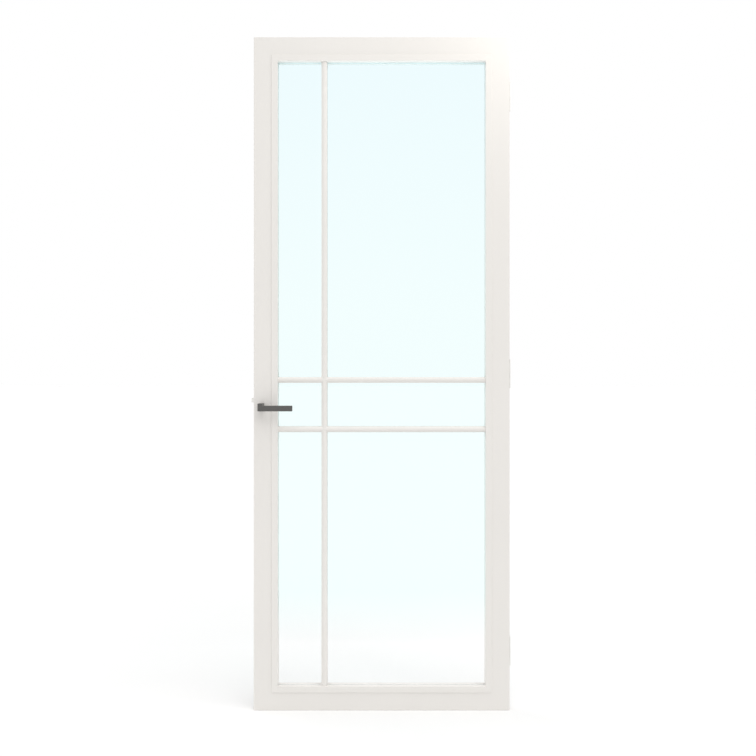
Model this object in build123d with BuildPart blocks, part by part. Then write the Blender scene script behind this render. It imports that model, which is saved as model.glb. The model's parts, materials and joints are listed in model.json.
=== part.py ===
from build123d import *
import os

os.makedirs("parts", exist_ok=True)

# Glass door leaf: X to the right, Y away from the viewer, Z up, lengths in mm
# The origin is the middle of the leaf's bottom edge, halfway through its thickness

# Leaf
leaf_width = 880
leaf_height = 2315
leaf_thickness = 40
flat_width = 61
bead_width = 21.5
lip_depth = 13
edge_round = 1.5
lip_round = 2
end_chamfer = 1

# Stub tenons
tenon_length = 24
tenon_height = 34
tenon_thickness = 12
tenon_clearance = 0.2

# Glazing
glass_thickness = 8
glass_margin = 5
seal_thickness = 3
seal_setback = 0.3
seal_outer_margin = 4
block_length = 100
block_inset = 130
bead_proud = 2.5
bead_inner_round = 1.5
bead_outer_round = 1.2

# Glazing bars
bar_width = 20
bar_depth = 14
bar_side_depth = 8.5
upright_offset = 242.5
upper_bar_height = 1136
lower_bar_height = 966

# Lever handle
backset = 28
lever_height = 1043
lever_length = 117.5
lever_bar_height = 19.2
back_lever_length = 103
back_lever_bar_height = 15
lever_bar_thickness = 12
lever_projection = 50
lever_chamfer = 1.2
hub_width = 17
hub_height = 26.4
hub_below_axis = 13.2
hub_clearance = 0.3
spindle_side = 8
spindle_clearance = 0.05
spindle_end_gap = 6
bush_outer_radius = 8
bush_proud = 1
bush_length = 10
journal_radius = 6.5
running_clearance = 0.05

# Lock
forend_thickness = 3
forend_width = 20
forend_height = 190
forend_below_axis = 80
lock_clearance = 0.3
inlay_gap = 0.2
case_depth = 50
case_thickness = 14
case_height = 130
case_below_axis = 60
case_wall = 1.5
follower_radius = 9
arm_height = 18
arm_half_width = 4
latch_projection = 10.5
latch_bevel_flat = 3
latch_head_length = 24
latch_head_height = 16
latch_head_width = 10
latch_head_above_axis = 15
latch_tail_above_axis = 19
latch_tail_height = 8
latch_tail_width = 6
latch_lug_width = 6
latch_lug_above_axis = 10.5
latch_gap = 0.3
latch_slide_gap = 0.1

# Hinges
hinge_height = 100
hinge_inset = 200
hinge_names = ("bottom", "middle", "top")
hinge_gap = 2
hinge_plate_thickness = 2.5
hinge_plate_reach = 28
knuckle_radius = 6
knuckle_standoff = 0.5
pin_radius = 3.5
pin_engagement = 38
ring_height = 2
hinge_hole_radius = 2.2
hole_depth_spacing = 14
hole_height_spacing = 60
hole_inset = 7

# Worked-out positions
half_width = leaf_width / 2
front_y = -leaf_thickness / 2
back_y = leaf_thickness / 2
rebate_x = half_width - flat_width
sight_x = rebate_x - bead_width
rebate_low = flat_width
rebate_high = leaf_height - flat_width
sight_low = rebate_low + bead_width
sight_high = rebate_high - bead_width
lip_y = back_y - lip_depth
glass_half = glass_thickness / 2
block_centre = rebate_x - block_inset
axis_x = backset - half_width
latch_z = lever_height + latch_tail_above_axis
hinge_levels = (hinge_inset, leaf_height / 2, leaf_height - hinge_inset)
hinge_axis_x = half_width + hinge_gap / 2
hinge_axis_y = back_y + knuckle_standoff + knuckle_radius
hinge_plate_low_y = back_y - hinge_plate_reach
case_front_x = forend_thickness - half_width
case_z = lever_height - case_below_axis + case_height / 2
forend_z = lever_height - forend_below_axis + forend_height / 2
latch_head_z = lever_height + latch_head_above_axis + latch_head_height / 2


def save(piece, name):
    piece.label = name
    export_step(piece, "parts/" + name + ".step")


# Lock stile with its back lip, mortises, lock pocket, forend recess and bush bores
with BuildPart() as lock_stile:
    with BuildSketch(Plane.XY):
        with BuildLine():
            Polyline(
                (-half_width, front_y),
                (-rebate_x, front_y),
                (-rebate_x, lip_y),
                (-sight_x, lip_y),
                (-sight_x, back_y),
                (-half_width, back_y),
                close=True,
            )
        make_face()
    extrude(amount=leaf_height)
    fillet(lock_stile.edges().filter_by(Axis.Z).group_by(Axis.X)[0], edge_round)
    fillet(lock_stile.edges().filter_by(Axis.Z).group_by(Axis.X)[-1].sort_by(Axis.Y)[-1], lip_round)
    for end_face in (lock_stile.faces().sort_by(Axis.Z)[0], lock_stile.faces().sort_by(Axis.Z)[-1]):
        chamfer(end_face.edges().filter_by(lambda edge: edge.center().X < -rebate_x), end_chamfer)
    # Mortises for the rails' tenons
    with BuildSketch(Plane.YZ.offset(-rebate_x)):
        for tenon_z in (flat_width / 2, leaf_height - flat_width / 2):
            with Locations((0, tenon_z)):
                Rectangle(tenon_thickness + 2 * tenon_clearance, tenon_height + 2 * tenon_clearance)
    extrude(amount=-(tenon_length + tenon_clearance), mode=Mode.SUBTRACT)
    # Forend recess
    with BuildSketch(Plane.YZ.offset(-half_width)):
        with Locations((0, forend_z)):
            SlotOverall(forend_height + 2 * inlay_gap, forend_width + 2 * inlay_gap, rotation=90)
    extrude(amount=forend_thickness, mode=Mode.SUBTRACT)
    # Lock pocket
    with BuildSketch(Plane.YZ.offset(case_front_x)):
        with Locations((0, case_z)):
            Rectangle(case_thickness + 2 * lock_clearance, case_height + 2 * lock_clearance)
    extrude(amount=case_depth + lock_clearance, mode=Mode.SUBTRACT)
    # Bore for the bushes, through both faces
    with BuildSketch(Plane.XZ.offset(-back_y)):
        with Locations((axis_x, lever_height)):
            Circle(bush_outer_radius)
    extrude(amount=leaf_thickness, mode=Mode.SUBTRACT)
save(lock_stile.part, "lock_stile")

# Hinge stile with its back lip, mortises and hinge recesses
with BuildPart() as hinge_stile:
    with BuildSketch(Plane.XY):
        with BuildLine():
            Polyline(
                (half_width, front_y),
                (rebate_x, front_y),
                (rebate_x, lip_y),
                (sight_x, lip_y),
                (sight_x, back_y),
                (half_width, back_y),
                close=True,
            )
        make_face()
    extrude(amount=leaf_height)
    fillet(hinge_stile.edges().filter_by(Axis.Z).group_by(Axis.X)[-1], edge_round)
    fillet(hinge_stile.edges().filter_by(Axis.Z).group_by(Axis.X)[0].sort_by(Axis.Y)[-1], lip_round)
    for end_face in (hinge_stile.faces().sort_by(Axis.Z)[0], hinge_stile.faces().sort_by(Axis.Z)[-1]):
        chamfer(end_face.edges().filter_by(lambda edge: edge.center().X > rebate_x), end_chamfer)
    # Mortises for the rails' tenons
    with BuildSketch(Plane.YZ.offset(rebate_x)):
        for tenon_z in (flat_width / 2, leaf_height - flat_width / 2):
            with Locations((0, tenon_z)):
                Rectangle(tenon_thickness + 2 * tenon_clearance, tenon_height + 2 * tenon_clearance)
    extrude(amount=tenon_length + tenon_clearance, mode=Mode.SUBTRACT)
    # Recesses for the hinges' door plates, open at the back face
    with BuildSketch(Plane.YZ.offset(half_width)):
        for hinge_z in hinge_levels:
            with Locations((hinge_plate_low_y, hinge_z)):
                Rectangle(
                    2 * hinge_plate_reach,
                    hinge_height + 2 * inlay_gap,
                    align=(Align.MIN, Align.CENTER),
                )
    extrude(amount=-hinge_plate_thickness, mode=Mode.SUBTRACT)
save(hinge_stile.part, "hinge_stile")

# Top and bottom rails between the stiles, their backs coped to the stiles' lips, with stub tenons
sight_depth = flat_width + bead_width
for rail_name, outer_z, inward in (("bottom", 0, 1), ("top", leaf_height, -1)):
    hold = Align.MIN if inward > 0 else Align.MAX
    with BuildPart() as rail:
        with BuildSketch(Plane.XZ.offset(-lip_y)):
            with Locations((0, outer_z)):
                Rectangle(2 * rebate_x, flat_width, align=(Align.CENTER, hold))
        extrude(amount=leaf_thickness - lip_depth)
        with BuildSketch(Plane.XZ.offset(-back_y)):
            with Locations((0, outer_z)):
                Rectangle(2 * sight_x, sight_depth, align=(Align.CENTER, hold))
        extrude(amount=lip_depth)
        long_edges = rail.edges().filter_by(Axis.X).group_by(Axis.Y)
        fillet(long_edges[0].filter_by_position(Axis.Z, outer_z, outer_z), edge_round)
        fillet(long_edges[-1].filter_by_position(Axis.Z, outer_z, outer_z), edge_round)
        back_edges = rail.edges().filter_by(Axis.X).filter_by_position(Axis.Y, back_y, back_y)
        fillet(back_edges.filter_by_position(Axis.Z, sight_low, sight_high), lip_round)
        with BuildSketch(Plane.YZ.offset(-rebate_x - tenon_length)):
            with Locations((0, outer_z + inward * flat_width / 2)):
                Rectangle(tenon_thickness, tenon_height)
        extrude(amount=2 * (rebate_x + tenon_length))
    save(rail.part, rail_name + "_rail")

# Glass pane
with BuildPart() as glass_pane:
    with BuildSketch(Plane.XZ.offset(-glass_half)):
        with Locations((0, leaf_height / 2)):
            Rectangle(2 * (rebate_x - glass_margin), rebate_high - rebate_low - 2 * glass_margin)
    extrude(amount=glass_thickness)
save(glass_pane.part, "glass_pane")

# Setting blocks that carry the glass
for block_name, block_x in (("left", -block_centre), ("right", block_centre)):
    with BuildPart() as setting_block:
        with BuildSketch(Plane.XZ.offset(-glass_half)):
            with Locations((block_x, rebate_low)):
                Rectangle(block_length, glass_margin, align=(Align.CENTER, Align.MIN))
        extrude(amount=glass_thickness)
    save(setting_block.part, "setting_block_" + block_name)

# Glazing seals on both sides of the glass
for seal_name, seal_y in (("front", -glass_half), ("back", glass_half + seal_thickness)):
    with BuildPart() as glazing_seal:
        with BuildSketch(Plane.XZ.offset(-seal_y)):
            with Locations((0, leaf_height / 2)):
                Rectangle(
                    2 * (rebate_x - seal_outer_margin),
                    rebate_high - rebate_low - 2 * seal_outer_margin,
                )
                Rectangle(
                    2 * (sight_x + seal_setback),
                    sight_high - sight_low + 2 * seal_setback,
                    mode=Mode.SUBTRACT,
                )
        extrude(amount=seal_thickness)
    save(glazing_seal.part, seal_name + "_glazing_seal")

# Mitred front beads, from the seal to a little proud of the stiles
bead_back_y = -glass_half - seal_thickness
bead_depth = bead_back_y - front_y + bead_proud
bead_front_y = front_y - bead_proud
outer_corners = (
    (-rebate_x, rebate_low),
    (rebate_x, rebate_low),
    (rebate_x, rebate_high),
    (-rebate_x, rebate_high),
)
inner_corners = (
    (-sight_x, sight_low),
    (sight_x, sight_low),
    (sight_x, sight_high),
    (-sight_x, sight_high),
)
bead_sides = ("bottom", "right", "top", "left")
for side, side_name in enumerate(bead_sides):
    following = (side + 1) % len(bead_sides)
    run_axis = Axis.Z if side % 2 else Axis.X
    with BuildPart() as bead:
        with BuildSketch(Plane.XZ.offset(-bead_back_y)):
            with BuildLine():
                Polyline(
                    outer_corners[side],
                    outer_corners[following],
                    inner_corners[following],
                    inner_corners[side],
                    close=True,
                )
            make_face()
        extrude(amount=bead_depth)
        long_edges = bead.edges().filter_by(run_axis).filter_by_position(Axis.Y, bead_front_y, bead_front_y)
        fillet(long_edges.sort_by(Edge.length)[0], bead_inner_round)
        long_edges = bead.edges().filter_by(run_axis).filter_by_position(Axis.Y, bead_front_y, bead_front_y)
        fillet(long_edges.sort_by(Edge.length)[-1], bead_outer_round)
    save(bead.part, "bead_" + side_name)

# Applied glazing bars, five on each face, the level ones coped to the upright
upright_x = upright_offset - half_width
bar_half = bar_width / 2
for face_name, facing in (("front", -1), ("back", 1)):
    glass_y = facing * glass_half
    shoulder_y = glass_y + facing * bar_side_depth
    crown_y = glass_y + facing * bar_depth

    with BuildPart() as upright_bar:
        with BuildSketch(Plane.XY.offset(sight_low)):
            with BuildLine():
                Polyline(
                    (upright_x - bar_half, shoulder_y),
                    (upright_x - bar_half, glass_y),
                    (upright_x + bar_half, glass_y),
                    (upright_x + bar_half, shoulder_y),
                )
                ThreePointArc(
                    (upright_x + bar_half, shoulder_y),
                    (upright_x, crown_y),
                    (upright_x - bar_half, shoulder_y),
                )
            make_face()
        extrude(amount=sight_high - sight_low)
    save(upright_bar.part, face_name + "_bar_upright")

    for level_name, level_z in (("upper", upper_bar_height), ("lower", lower_bar_height)):
        for reach_name, start_x, end_x in (("left", -sight_x, upright_x), ("right", upright_x, sight_x)):
            with BuildPart() as level_bar:
                with BuildSketch(Plane.YZ.offset(start_x)):
                    with BuildLine():
                        Polyline(
                            (shoulder_y, level_z - bar_half),
                            (glass_y, level_z - bar_half),
                            (glass_y, level_z + bar_half),
                            (shoulder_y, level_z + bar_half),
                        )
                        ThreePointArc(
                            (shoulder_y, level_z + bar_half),
                            (crown_y, level_z),
                            (shoulder_y, level_z - bar_half),
                        )
                    make_face()
                extrude(amount=end_x - start_x)
                add(upright_bar.part, mode=Mode.SUBTRACT)
            save(level_bar.part, face_name + "_bar_" + level_name + "_" + reach_name)

# Forend plate, flush in the lock stile's edge
with BuildPart() as lock_forend:
    with BuildSketch(Plane.YZ.offset(-half_width)):
        with Locations((0, forend_z)):
            SlotOverall(forend_height, forend_width, rotation=90)
        with Locations((0, latch_head_z)):
            Rectangle(
                latch_head_width + 2 * latch_slide_gap,
                latch_head_height + 2 * latch_slide_gap,
                mode=Mode.SUBTRACT,
            )
    extrude(amount=forend_thickness)
save(lock_forend.part, "lock_forend")

# Lock case, a tray open to the back, with the latch window and the follower's bearing
case_low_y = -case_thickness / 2
with BuildPart() as lock_case:
    with BuildSketch(Plane.XZ.offset(-case_low_y)):
        with Locations((case_front_x, case_z)):
            Rectangle(case_depth, case_height, align=(Align.MIN, Align.CENTER))
    extrude(amount=-(case_thickness - case_wall))
    with BuildSketch(Plane.XZ.offset(-case_low_y - case_wall)):
        with Locations((case_front_x + case_wall, case_z)):
            Rectangle(
                case_depth - 2 * case_wall,
                case_height - 2 * case_wall,
                align=(Align.MIN, Align.CENTER),
            )
    extrude(amount=-(case_thickness - case_wall), mode=Mode.SUBTRACT)
    with BuildSketch(Plane.YZ.offset(case_front_x)):
        with Locations((0, latch_head_z)):
            Rectangle(latch_head_width + 2 * latch_slide_gap, latch_head_height + 2 * latch_slide_gap)
    extrude(amount=case_wall, mode=Mode.SUBTRACT)
    with BuildSketch(Plane.XZ.offset(-case_low_y)):
        with Locations((axis_x, lever_height)):
            Circle(follower_radius)
    extrude(amount=-case_wall, mode=Mode.SUBTRACT)
save(lock_case.part, "lock_case")

# Lock cover
with BuildPart() as lock_cover:
    with BuildSketch(Plane.XZ.offset(case_low_y)):
        with Locations((case_front_x, case_z)):
            Rectangle(case_depth, case_height, align=(Align.MIN, Align.CENTER))
        with Locations((axis_x, lever_height)):
            Circle(follower_radius, mode=Mode.SUBTRACT)
    extrude(amount=case_wall)
save(lock_cover.part, "lock_cover")

# Follower with its arm, turning in the case and the cover
spindle_hole = spindle_side + 2 * spindle_clearance
with BuildPart() as follower:
    with BuildSketch(Plane.XZ.offset(case_low_y)):
        with Locations((axis_x, lever_height)):
            Circle(follower_radius - running_clearance)
    extrude(amount=case_thickness)
    with BuildSketch(Plane.XZ.offset(-latch_tail_width / 2)):
        with Locations((axis_x, lever_height)):
            Rectangle(2 * arm_half_width, arm_height, align=(Align.CENTER, Align.MIN))
    extrude(amount=latch_tail_width)
    with BuildSketch(Plane.XZ.offset(case_low_y)):
        with Locations((axis_x, lever_height)):
            Rectangle(spindle_hole, spindle_hole)
    extrude(amount=case_thickness, mode=Mode.SUBTRACT)
save(follower.part, "follower")

# Latch bolt: bevelled head, tail over the follower and the lug that its arm draws in
latch_tip_x = -half_width - latch_projection
latch_heel_x = latch_tip_x + latch_head_length
lug_x = axis_x + arm_half_width + latch_gap
with BuildPart() as latch_bolt:
    with BuildSketch(Plane.XY.offset(latch_head_z - latch_head_height / 2)):
        with BuildLine():
            Polyline(
                (latch_tip_x, latch_head_width / 2),
                (latch_tip_x, latch_head_width / 2 - latch_bevel_flat),
                (-half_width, -latch_head_width / 2),
                (latch_heel_x, -latch_head_width / 2),
                (latch_heel_x, latch_head_width / 2),
                close=True,
            )
        make_face()
    extrude(amount=latch_head_height)
    with BuildSketch(Plane.XZ.offset(-latch_tail_width / 2)):
        with Locations((latch_heel_x, latch_z)):
            Rectangle(
                lug_x + latch_lug_width - latch_heel_x,
                latch_tail_height,
                align=(Align.MIN, Align.MIN),
            )
        with Locations((lug_x, lever_height + latch_lug_above_axis)):
            Rectangle(
                latch_lug_width,
                latch_tail_above_axis - latch_lug_above_axis,
                align=(Align.MIN, Align.MIN),
            )
    extrude(amount=latch_tail_width)
save(latch_bolt.part, "latch_bolt")

# Square spindle through the follower into both levers
hub_reach = lever_projection - lever_bar_thickness
with BuildPart() as spindle:
    with BuildSketch(Plane.XZ.offset(-back_y - hub_reach + spindle_end_gap)):
        with Locations((axis_x, lever_height)):
            Rectangle(spindle_side, spindle_side)
    extrude(amount=leaf_thickness + 2 * (hub_reach - spindle_end_gap))
save(spindle.part, "spindle")

# Bushes, levers and their journals on both faces
lever_low_z = lever_height - hub_below_axis
hub_left_x = axis_x - hub_width / 2
for face_name, facing, reach, grip_height in (
    ("front", -1, lever_length, lever_bar_height),
    ("back", 1, back_lever_length, back_lever_bar_height),
):
    face_y = facing * back_y
    hub_y = face_y + facing * (bush_proud + hub_clearance)
    bar_back_y = face_y + facing * hub_reach
    socket_end_y = bar_back_y - facing * (spindle_end_gap - hub_clearance)
    journal_end_y = face_y - facing * (bush_length - hub_clearance)

    with BuildPart() as lever_bush:
        with BuildSketch(Plane.XZ.offset(-face_y - facing * bush_proud)):
            with Locations((axis_x, lever_height)):
                Circle(bush_outer_radius)
                Circle(journal_radius, mode=Mode.SUBTRACT)
        extrude(amount=facing * (bush_proud + bush_length))
    save(lever_bush.part, face_name + "_lever_bush")

    with BuildPart() as lever:
        with BuildSketch(Plane.XZ.offset(-hub_y)):
            with Locations((hub_left_x, lever_low_z)):
                Rectangle(hub_width, hub_height, align=(Align.MIN, Align.MIN))
        extrude(amount=-facing * (lever_projection - bush_proud - hub_clearance))
        with BuildSketch(Plane.XZ.offset(-bar_back_y)):
            with Locations((hub_left_x, lever_low_z)):
                Rectangle(reach, grip_height, align=(Align.MIN, Align.MIN))
        extrude(amount=-facing * lever_bar_thickness)
        chamfer(lever.edges(), lever_chamfer)
        with BuildSketch(Plane.XZ.offset(-hub_y)):
            with Locations((axis_x, lever_height)):
                Circle(journal_radius - running_clearance)
        extrude(amount=facing * (bush_proud + bush_length))
        with BuildSketch(Plane.XZ.offset(-journal_end_y)):
            with Locations((axis_x, lever_height)):
                Rectangle(spindle_hole, spindle_hole)
        extrude(amount=-facing * abs(socket_end_y - journal_end_y), mode=Mode.SUBTRACT)
    save(lever.part, face_name + "_lever")

# Lift-off hinges: frame plate, door plate and the collared pin between them
half_ring = ring_height / 2
knuckle_height = (hinge_height - ring_height) / 2
hole_centre_y = hinge_plate_low_y + hole_inset + hole_depth_spacing / 2
for hinge_name, hinge_z in zip(hinge_names, hinge_levels):
    hole_places = [
        (hole_centre_y + across * hole_depth_spacing / 2, hinge_z + up * hole_height_spacing / 2)
        for across in (-1, 1)
        for up in (-1, 1)
    ]
    # Plates with their knuckles; only the frame plates have screw holes
    for half_name, plate_x, outward, knuckle_z, bore_clearance in (
        ("frame", half_width + hinge_gap, 1, hinge_z - hinge_height / 2, 0),
        ("door", half_width, -1, hinge_z + half_ring, running_clearance),
    ):
        sink_plane = Plane.YZ.offset(plate_x)
        with BuildPart() as hinge_plate:
            with BuildSketch(sink_plane):
                with Locations((hinge_plate_low_y, hinge_z)):
                    Rectangle(hinge_plate_reach, hinge_height, align=(Align.MIN, Align.CENTER))
            extrude(amount=outward * hinge_plate_thickness)
            with BuildSketch(sink_plane):
                with Locations((back_y, knuckle_z)):
                    Rectangle(
                        knuckle_standoff + knuckle_radius,
                        knuckle_height,
                        align=(Align.MIN, Align.MIN),
                    )
            extrude(amount=outward * hinge_plate_thickness)
            with BuildSketch(Plane.XY.offset(knuckle_z)):
                with Locations((hinge_axis_x, hinge_axis_y)):
                    Circle(knuckle_radius)
            extrude(amount=knuckle_height)
            with BuildSketch(Plane.XY.offset(knuckle_z)):
                with Locations((hinge_axis_x, hinge_axis_y)):
                    Circle(pin_radius + bore_clearance)
            extrude(amount=knuckle_height, mode=Mode.SUBTRACT)
            if half_name == "frame":
                with BuildSketch(sink_plane):
                    with Locations(*hole_places):
                        Circle(hinge_hole_radius)
                extrude(amount=outward * hinge_plate_thickness, mode=Mode.SUBTRACT)
        save(hinge_plate.part, "hinge_" + half_name + "_plate_" + hinge_name)

    # Pin pressed into the frame half, with the collar that carries the door half
    with BuildPart() as hinge_pin:
        with BuildSketch(Plane.XY.offset(hinge_z - hinge_height / 2)):
            with Locations((hinge_axis_x, hinge_axis_y)):
                Circle(pin_radius)
        extrude(amount=knuckle_height + ring_height + pin_engagement)
        with BuildSketch(Plane.XY.offset(hinge_z - half_ring)):
            with Locations((hinge_axis_x, hinge_axis_y)):
                Circle(knuckle_radius)
        extrude(amount=ring_height)
    save(hinge_pin.part, "hinge_pin_" + hinge_name)
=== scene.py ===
import json
import math

import bmesh
import bpy
from mathutils import Matrix, Vector


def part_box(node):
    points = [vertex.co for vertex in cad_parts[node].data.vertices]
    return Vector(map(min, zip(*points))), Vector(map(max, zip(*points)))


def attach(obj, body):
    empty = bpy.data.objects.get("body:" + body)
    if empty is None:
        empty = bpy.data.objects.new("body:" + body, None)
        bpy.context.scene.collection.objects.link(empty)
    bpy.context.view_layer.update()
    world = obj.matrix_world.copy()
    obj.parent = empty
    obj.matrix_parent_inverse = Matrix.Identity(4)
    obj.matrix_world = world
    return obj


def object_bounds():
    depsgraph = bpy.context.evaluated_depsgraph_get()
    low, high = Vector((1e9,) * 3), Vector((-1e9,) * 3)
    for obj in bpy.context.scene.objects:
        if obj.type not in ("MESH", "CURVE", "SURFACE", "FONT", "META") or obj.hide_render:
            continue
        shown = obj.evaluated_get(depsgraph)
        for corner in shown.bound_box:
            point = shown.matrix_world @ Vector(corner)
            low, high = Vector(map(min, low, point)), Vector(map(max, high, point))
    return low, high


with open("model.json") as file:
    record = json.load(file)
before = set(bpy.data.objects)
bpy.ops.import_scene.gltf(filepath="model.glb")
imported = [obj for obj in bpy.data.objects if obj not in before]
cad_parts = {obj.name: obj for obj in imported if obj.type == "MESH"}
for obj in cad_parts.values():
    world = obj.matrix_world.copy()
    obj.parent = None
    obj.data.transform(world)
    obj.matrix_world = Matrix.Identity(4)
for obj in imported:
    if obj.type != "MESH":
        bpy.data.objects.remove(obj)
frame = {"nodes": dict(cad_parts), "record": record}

START_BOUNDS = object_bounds()
NODES = frame["nodes"]
RECORD = frame["record"]
SCENE = bpy.context.scene
MM = 0.001

# Colours, written as 8-bit sRGB and turned into linear values
LACQUER = (225, 222, 218)
LACQUER_SHADE = (224, 221, 217)
HINGE_COAT = (234, 233, 230)
SEAL = (250, 250, 248)
BLOCK = (96, 97, 98)
STEEL = (176, 175, 172)
PIN_STEEL = (188, 188, 186)
LATCH = (226, 225, 221)
LEVER = (94, 93, 91)
LEVER_DARK = (84, 83, 81)
BUSH = (42, 42, 42)
SCREW_DARK = (70, 70, 71)
# Dark grey of the screw recesses, painted shade in the recess
RECESS_PAINTED_SHADE = (60, 60, 60)
# Pane colours by height: the pale tint is the glass's own, and its fade to white at the foot is a
# painted reflection of the bright floor
GLASS_FOOT_PAINTED_REFLECTION = (255, 255, 255)
GLASS_LOW = (244, 255, 255)
GLASS_MIDDLE = (243, 255, 255)
GLASS_TOP = (238, 252, 255)
FLOOR = (240, 240, 240)

# Pane: its pale tint at shares of the leaf's height, where the change with height (deepest at the
# top, white at the foot) is a painted reflection, and the share of light that it mirrors
LEAF_TOP = START_BOUNDS[1][2]
GLASS_TINT_AND_PAINTED_FADE = ((0.1, GLASS_FOOT_PAINTED_REFLECTION), (0.175, GLASS_LOW), (0.6, GLASS_MIDDLE), (1.0, GLASS_TOP))
GLASS_MIRROR_SHARE = 0.01

# Noise: where colours drift, how far roughness drifts, and how brushed grain is stretched
DRIFT_START, DRIFT_END = 0.35, 0.65
ROUGHNESS_DRIFT = 0.06
GRAIN_UPRIGHT = (1, 1, 0.05)
GRAIN_TURNED = (0.05, 0.05, 1)

# Screws
HEAD_RADIUS = 3.6 * MM
HINGE_HEAD_RISE = 0.6 * MM
FOREND_HEAD_RISE = 0.4 * MM
CROSS_REACH_SHARE = 0.6
CROSS_WIDTH_SHARE = 0.24
GRUB_RADIUS = 2.5 * MM
GRUB_RISE = 0.2 * MM
GRUB_SOCKET_SHARE = 0.55
GRUB_FROM_MIDDLE = 38 * MM
RIM_SHARE = 0.86
RECESS_FLOOR_SHARE = 0.75
RECESS_LEVEL_SHARE = 0.1
ROUND_SIDES = 24
HEX_SIDES = 6

# Stage
FLOOR_REACH = 120.0
AMBIENT_STRENGTH = 0.76
WHITE = (1.0, 1.0, 1.0)
KEY_TINT = (1.0, 0.995, 0.985)
GLOW_TINT = (1.0, 0.98, 0.92)
REVEAL_HEIGHT = 2.2
STRIP_HEIGHT = 1.25
STRIP_FROM_MIDDLE = 0.16

# Camera at the photo's angle, looking along +Y
CAMERA_PLACE = (-0.0127, -3.02, 1.1427)
CAMERA_TURN = (math.radians(90), 0, 0)
LENS_MM = 41.556
SENSOR_MM = 36.0


def linear(colour):
    out = []
    for value in colour:
        share = value / 255
        out.append(share / 12.92 if share <= 0.04045 else ((share + 0.055) / 1.055) ** 2.4)
    return (*out, 1.0)


# A ray crosses two faces of the pane, so each face takes the root of its tint
def root_linear(colour):
    return (*(math.sqrt(value) for value in linear(colour)[:3]), 1.0)


# Materials
def new_material(name):
    material = bpy.data.materials.new(name)
    material.use_nodes = True
    tree = material.node_tree
    tree.nodes.clear()
    output = tree.nodes.new("ShaderNodeOutputMaterial")
    return material, tree, output


def principled(tree, output, colour, roughness, metallic=0.0, specular=0.5):
    shader = tree.nodes.new("ShaderNodeBsdfPrincipled")
    shader.inputs["Base Color"].default_value = linear(colour)
    shader.inputs["Roughness"].default_value = roughness
    shader.inputs["Metallic"].default_value = metallic
    shader.inputs["Specular IOR Level"].default_value = specular
    tree.links.new(shader.outputs[0], output.inputs["Surface"])
    return shader


def object_noise(tree, scale, detail=2.0, stretch=(1, 1, 1)):
    place = tree.nodes.new("ShaderNodeTexCoord")
    mapping = tree.nodes.new("ShaderNodeMapping")
    mapping.inputs["Scale"].default_value = stretch
    noise = tree.nodes.new("ShaderNodeTexNoise")
    noise.inputs["Scale"].default_value = scale
    noise.inputs["Detail"].default_value = detail
    tree.links.new(place.outputs["Object"], mapping.inputs["Vector"])
    tree.links.new(mapping.outputs[0], noise.inputs["Vector"])
    return noise


def colour_ramp(tree, factor, stops):
    ramp = tree.nodes.new("ShaderNodeValToRGB")
    elements = ramp.color_ramp.elements
    for position, _ in stops[1:-1]:
        elements.new(position)
    for element, (position, colour) in zip(elements, stops):
        element.position = position
        element.color = colour
    tree.links.new(factor, ramp.inputs["Fac"])
    return ramp.outputs["Color"]


def add_bump(tree, shader, noise, strength, distance):
    bump = tree.nodes.new("ShaderNodeBump")
    bump.inputs["Strength"].default_value = strength
    bump.inputs["Distance"].default_value = distance
    tree.links.new(noise.outputs["Fac"], bump.inputs["Height"])
    tree.links.new(bump.outputs[0], shader.inputs["Normal"])


def add_colour_drift(tree, shader, noise, first, second):
    stops = ((DRIFT_START, linear(first)), (DRIFT_END, linear(second)))
    tree.links.new(colour_ramp(tree, noise.outputs["Fac"], stops), shader.inputs["Base Color"])


def add_roughness_drift(tree, shader, noise, low, high):
    spread = tree.nodes.new("ShaderNodeMapRange")
    spread.inputs["To Min"].default_value = low
    spread.inputs["To Max"].default_value = high
    tree.links.new(noise.outputs["Fac"], spread.inputs["Value"])
    tree.links.new(spread.outputs[0], shader.inputs["Roughness"])


def lacquer_material():
    material, tree, output = new_material("white_lacquer")
    shader = principled(tree, output, LACQUER, roughness=0.42, specular=0.35)
    add_colour_drift(tree, shader, object_noise(tree, scale=2.5), LACQUER_SHADE, LACQUER)
    add_bump(tree, shader, object_noise(tree, scale=260.0), strength=0.05, distance=0.4 * MM)
    return material


def coat_material():
    material, tree, output = new_material("hinge_white")
    shader = principled(tree, output, HINGE_COAT, roughness=0.4, specular=0.4)
    add_bump(tree, shader, object_noise(tree, scale=900.0), strength=0.08, distance=0.1 * MM)
    return material


def plain_material(name, colour, roughness):
    material, tree, output = new_material(name)
    shader = principled(tree, output, colour, roughness, specular=0.3)
    noise = object_noise(tree, scale=120.0)
    add_roughness_drift(tree, shader, noise, roughness - ROUGHNESS_DRIFT, roughness + ROUGHNESS_DRIFT)
    return material


def brushed_material(name, colour, stretch):
    material, tree, output = new_material(name)
    shader = principled(tree, output, colour, roughness=0.32, metallic=1.0)
    grain = object_noise(tree, scale=60.0, detail=4.0, stretch=stretch)
    add_roughness_drift(tree, shader, grain, low=0.24, high=0.42)
    add_bump(tree, shader, grain, strength=0.05, distance=0.05 * MM)
    return material


def plated_material(name, colour):
    material, tree, output = new_material(name)
    shader = principled(tree, output, colour, roughness=0.3, metallic=1.0)
    add_roughness_drift(tree, shader, object_noise(tree, scale=200.0), low=0.25, high=0.35)
    return material


def lever_material():
    material, tree, output = new_material("lever_grey")
    shader = principled(tree, output, LEVER, roughness=0.45, metallic=0.25, specular=0.4)
    grain = object_noise(tree, scale=1500.0)
    add_colour_drift(tree, shader, grain, LEVER_DARK, LEVER)
    add_bump(tree, shader, grain, strength=0.06, distance=0.05 * MM)
    return material
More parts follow.
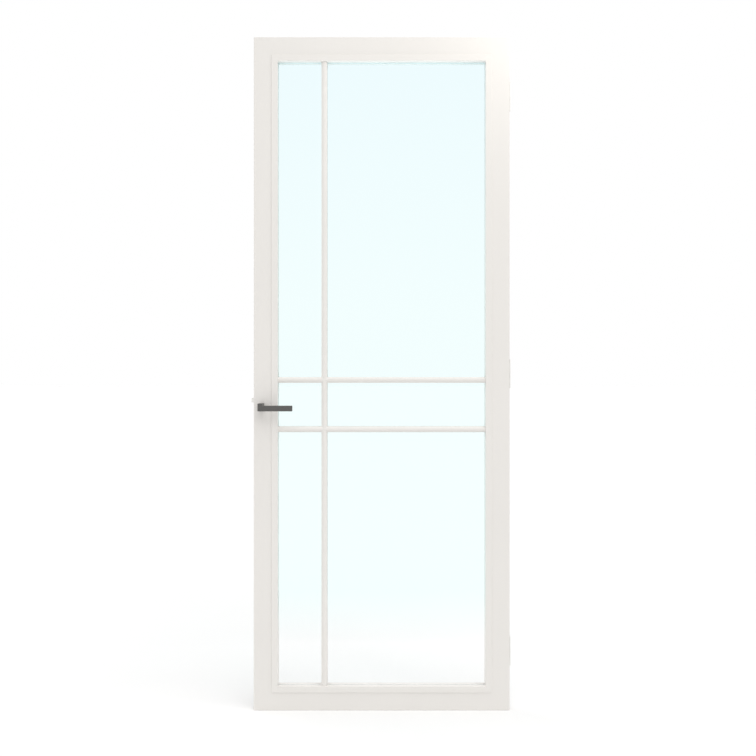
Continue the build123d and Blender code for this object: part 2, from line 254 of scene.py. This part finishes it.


# The pane lets the backdrop through with a pale tint; its fade towards the floor, by height, is a
# painted reflection of the bright floor and surroundings
def glass_material():
    material, tree, output = new_material("clear_glass")
    place = tree.nodes.new("ShaderNodeTexCoord")
    split = tree.nodes.new("ShaderNodeSeparateXYZ")
    height = tree.nodes.new("ShaderNodeMapRange")
    height.inputs["From Min"].default_value = 0.0
    height.inputs["From Max"].default_value = LEAF_TOP
    stops = [(position, root_linear(colour)) for position, colour in GLASS_TINT_AND_PAINTED_FADE]
    # The ramp paints the reflection's fade by height into the tint
    painted_fade_tint = colour_ramp(tree, height.outputs[0], stops)
    clear = tree.nodes.new("ShaderNodeBsdfTransparent")
    gloss = tree.nodes.new("ShaderNodeBsdfGlossy")
    gloss.inputs["Roughness"].default_value = 0.02
    mix = tree.nodes.new("ShaderNodeMixShader")
    mix.inputs["Fac"].default_value = GLASS_MIRROR_SHARE
    tree.links.new(place.outputs["Object"], split.inputs[0])
    tree.links.new(split.outputs["Z"], height.inputs["Value"])
    tree.links.new(painted_fade_tint, clear.inputs["Color"])
    tree.links.new(clear.outputs[0], mix.inputs[1])
    tree.links.new(gloss.outputs[0], mix.inputs[2])
    tree.links.new(mix.outputs[0], output.inputs["Surface"])
    return material


FINISHES = {
    "white_lacquer": lacquer_material(),
    "clear_glass": glass_material(),
    "glazing_seal": plain_material("glazing_seal", SEAL, roughness=0.7),
    "setting_block": plain_material("setting_block", BLOCK, roughness=0.6),
    "lock_steel": brushed_material("lock_steel", STEEL, GRAIN_UPRIGHT),
    "latch_nickel": plated_material("latch_nickel", LATCH),
    "lever_grey": lever_material(),
    "bush_plastic": plain_material("bush_plastic", BUSH, roughness=0.5),
    "hinge_white": coat_material(),
    "hinge_pin_steel": brushed_material("hinge_pin_steel", PIN_STEEL, GRAIN_TURNED),
    "screw_dark": plated_material("screw_dark", SCREW_DARK),
    "screw_recess_painted_shade": plain_material("screw_recess_painted_shade", RECESS_PAINTED_SHADE, roughness=0.6),
}


def dress_nodes():
    for subpart in RECORD["subparts"]:
        node = NODES[subpart["node"]]
        finish = FINISHES[subpart["material_slot"]]
        if not node.material_slots:
            node.data.materials.append(finish)
        for material_slot in node.material_slots:
            material_slot.material = finish


# Small screws that the solids leave out
def regular_outline(radius, sides):
    turns = [math.tau * step / sides for step in range(sides)]
    return [(radius * math.cos(turn), radius * math.sin(turn)) for turn in turns]


def cross_outline(reach, width):
    half = width / 2
    quarter = ((half, half), (half, reach), (-half, reach))
    return [
        (x * math.cos(turn) - y * math.sin(turn), x * math.sin(turn) + y * math.cos(turn))
        for turn in (math.radians(90 * step) for step in range(4))
        for x, y in quarter
    ]


def scaled(outline, share):
    return [(share * x, share * y) for x, y in outline]


def ring(mesh, outline, height):
    verts = [mesh.verts.new((x, y, height)) for x, y in outline]
    edges = [mesh.edges.new((vert, verts[(i + 1) % len(verts)])) for i, vert in enumerate(verts)]
    return verts, edges


def bridge(mesh, first, second, material_index):
    for i, vert in enumerate(first):
        following = (i + 1) % len(first)
        face = mesh.faces.new((vert, first[following], second[following], second[i]))
        face.material_index = material_index


# A closed head with sloping sides and a tapered recess; the recess faces take the second material, a
# dark grey that paints the shade in the recess
def screw_mesh(name, radius, rise, recess):
    circle = regular_outline(radius, ROUND_SIDES)
    mesh = bmesh.new()
    foot, _ = ring(mesh, circle, 0)
    rim, rim_edges = ring(mesh, scaled(circle, RIM_SHARE), rise)
    mouth, mouth_edges = ring(mesh, recess, rise)
    floor, _ = ring(mesh, scaled(recess, RECESS_FLOOR_SHARE), RECESS_LEVEL_SHARE * rise)
    mesh.faces.new(foot)
    bridge(mesh, foot, rim, 0)
    bridge(mesh, mouth, floor, 1)
    mesh.faces.new(floor).material_index = 1
    bmesh.ops.triangle_fill(mesh, edges=rim_edges + mouth_edges, use_beauty=True)
    bmesh.ops.recalc_face_normals(mesh, faces=mesh.faces)
    data = bpy.data.meshes.new(name)
    mesh.to_mesh(data)
    mesh.free()
    return data


def add_screw(name, place, outward, radius, rise, recess, finish, body):
    data = screw_mesh(name, radius, rise, recess)
    data.materials.append(FINISHES[finish])
    # The recess faces take a dark grey, painted shade in the recess whatever the head's finish
    data.materials.append(FINISHES["screw_recess_painted_shade"])
    screw = bpy.data.objects.new(name, data)
    turn = Vector(outward).to_track_quat("Z", "Y").to_matrix().to_4x4()
    screw.matrix_world = Matrix.Translation(place) @ turn
    SCENE.collection.objects.link(screw)
    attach(screw, body)


def add_hinge_screws(cross):
    edge_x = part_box("hinge_stile")[1][0]
    for mount in RECORD["mounts"]:
        if mount["kind"] != "bolt_pattern":
            continue
        level = mount["name"].removeprefix("hinge_screws_")
        across = mount["dims"]["spacing_x_mm"] * MM / 2
        up = mount["dims"]["spacing_y_mm"] * MM / 2
        middle_y, middle_z = mount["pos_m"][1:]
        for count, (side, end) in enumerate(((-1, -1), (1, -1), (-1, 1), (1, 1)), 1):
            add_screw(
                f"hinge_screw_{level}_{count}",
                place=(edge_x, middle_y + side * across, middle_z + end * up),
                outward=(1, 0, 0),
                radius=HEAD_RADIUS,
                rise=HINGE_HEAD_RISE,
                recess=cross,
                finish="hinge_white",
                body="leaf",
            )


def add_forend_screws(cross):
    low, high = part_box("lock_forend")
    inset = (high[1] - low[1]) / 2
    for end, height in (("low", low[2] + inset), ("high", high[2] - inset)):
        add_screw(
            f"forend_screw_{end}",
            place=(low[0], 0, height),
            outward=(-1, 0, 0),
            radius=HEAD_RADIUS,
            rise=FOREND_HEAD_RISE,
            recess=cross,
            finish="lock_steel",
            body="leaf",
        )


def add_grub_screws(socket):
    spindle_low, spindle_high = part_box("spindle")
    axis_x = (spindle_low[0] + spindle_high[0]) / 2
    for face, side in (("front", -1), ("back", 1)):
        hub_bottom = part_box(face + "_lever")[0][2]
        add_screw(
            face + "_grub_screw",
            place=(axis_x, side * GRUB_FROM_MIDDLE, hub_bottom),
            outward=(0, 0, -1),
            radius=GRUB_RADIUS,
            rise=GRUB_RISE,
            recess=socket,
            finish="screw_dark",
            body="lever",
        )


def add_screws():
    cross = cross_outline(CROSS_REACH_SHARE * HEAD_RADIUS, CROSS_WIDTH_SHARE * HEAD_RADIUS)
    socket = regular_outline(GRUB_SOCKET_SHARE * GRUB_RADIUS, HEX_SIDES)
    add_hinge_screws(cross)
    add_forend_screws(cross)
    add_grub_screws(socket)


# Stage: pale floor, white backdrop and soft lights
def build_floor():
    mesh = bpy.data.meshes.new("floor")
    corners = [(x * FLOOR_REACH, y * FLOOR_REACH, 0) for x, y in ((-1, -1), (1, -1), (1, 1), (-1, 1))]
    mesh.from_pydata(corners, [], [(0, 1, 2, 3)])
    floor = bpy.data.objects.new("floor", mesh)
    SCENE.collection.objects.link(floor)
    material, tree, output = new_material("floor")
    diffuse = tree.nodes.new("ShaderNodeBsdfDiffuse")
    diffuse.inputs["Color"].default_value = linear(FLOOR)
    tree.links.new(diffuse.outputs[0], output.inputs["Surface"])
    mesh.materials.append(material)


def any_ray(tree, kinds):
    path = tree.nodes.new("ShaderNodeLightPath")
    seen = path.outputs[kinds[0]]
    for kind in kinds[1:]:
        either = tree.nodes.new("ShaderNodeMath")
        either.operation = "MAXIMUM"
        tree.links.new(seen, either.inputs[0])
        tree.links.new(path.outputs[kind], either.inputs[1])
        seen = either.outputs[0]
    return seen


def white_background(tree, strength):
    background = tree.nodes.new("ShaderNodeBackground")
    background.inputs["Color"].default_value = (*WHITE, 1.0)
    background.inputs["Strength"].default_value = strength
    return background


# The backdrop is seen as white, and lights the part less than that
def build_world():
    world = bpy.data.worlds.new("studio")
    SCENE.world = world
    world.use_nodes = True
    tree = world.node_tree
    tree.nodes.clear()
    output = tree.nodes.new("ShaderNodeOutputWorld")
    backdrop = white_background(tree, 1.0)
    ambient = white_background(tree, AMBIENT_STRENGTH)
    seen = any_ray(tree, ("Is Camera Ray", "Is Glossy Ray", "Is Transmission Ray"))
    mix = tree.nodes.new("ShaderNodeMixShader")
    tree.links.new(seen, mix.inputs["Fac"])
    tree.links.new(ambient.outputs[0], mix.inputs[1])
    tree.links.new(backdrop.outputs[0], mix.inputs[2])
    tree.links.new(mix.outputs[0], output.inputs["Surface"])


def add_light(name, kind, power, colour=WHITE):
    lamp = bpy.data.lights.new(name, kind)
    lamp.energy = power
    lamp.color = colour
    light = bpy.data.objects.new(name, lamp)
    SCENE.collection.objects.link(light)
    return light, lamp


def turn_towards(light, direction):
    light.rotation_euler = Vector(direction).to_track_quat("-Z", "Y").to_euler()


def sun_light(name, direction, spread, power, colour=WHITE):
    light, lamp = add_light(name, "SUN", power, colour)
    lamp.angle = math.radians(spread)
    turn_towards(light, direction)


def area_light(name, place, aim, width, depth, power, spread=180.0):
    light, lamp = add_light(name, "AREA", power)
    lamp.shape = "RECTANGLE"
    lamp.size = width
    lamp.size_y = depth
    lamp.spread = math.radians(spread)
    light.location = place
    turn_towards(light, Vector(aim) - Vector(place))
    light.visible_camera = False
    light.visible_glossy = False


def point_light(name, place, size, power, colour):
    light, lamp = add_light(name, "POINT", power, colour)
    lamp.shadow_soft_size = size
    light.location = place
    light.visible_camera = False


# Narrow strips light the underside of the top reveal on each face
def add_reveal_strips():
    for face, side in (("front", -1), ("back", 1)):
        strip_y = side * STRIP_FROM_MIDDLE
        area_light(
            face + "_reveal_fill",
            place=(0, strip_y, STRIP_HEIGHT),
            aim=(0, strip_y, REVEAL_HEIGHT),
            width=0.75,
            depth=0.1,
            power=0.24,
            spread=30.0,
        )


def add_lights():
    sun_light("key", direction=(-0.22, 0.5, -0.85), spread=60.0, power=1.14, colour=KEY_TINT)
    sun_light("back_fill", direction=(0.85, -0.5, -0.15), spread=30.0, power=0.9)
    sun_light("top_fill", direction=(0, 0.08, -1), spread=30.0, power=0.18)
    area_light(
        "under_fill",
        place=(0, 0.9, 0.05),
        aim=(0, 0.02, REVEAL_HEIGHT),
        width=1.2,
        depth=1.2,
        power=5.0,
    )
    add_reveal_strips()
    point_light("corner_glow", place=(0.754, -0.42, 2.53), size=0.1, power=6.2, colour=GLOW_TINT)


def build_camera():
    data = bpy.data.cameras.new("camera")
    data.sensor_width = SENSOR_MM
    data.lens = LENS_MM
    camera = bpy.data.objects.new("camera", data)
    camera.location = CAMERA_PLACE
    camera.rotation_euler = CAMERA_TURN
    SCENE.collection.objects.link(camera)
    SCENE.camera = camera


dress_nodes()
add_screws()
build_floor()
build_world()
add_lights()
build_camera()
SCENE.view_settings.view_transform = "Standard"
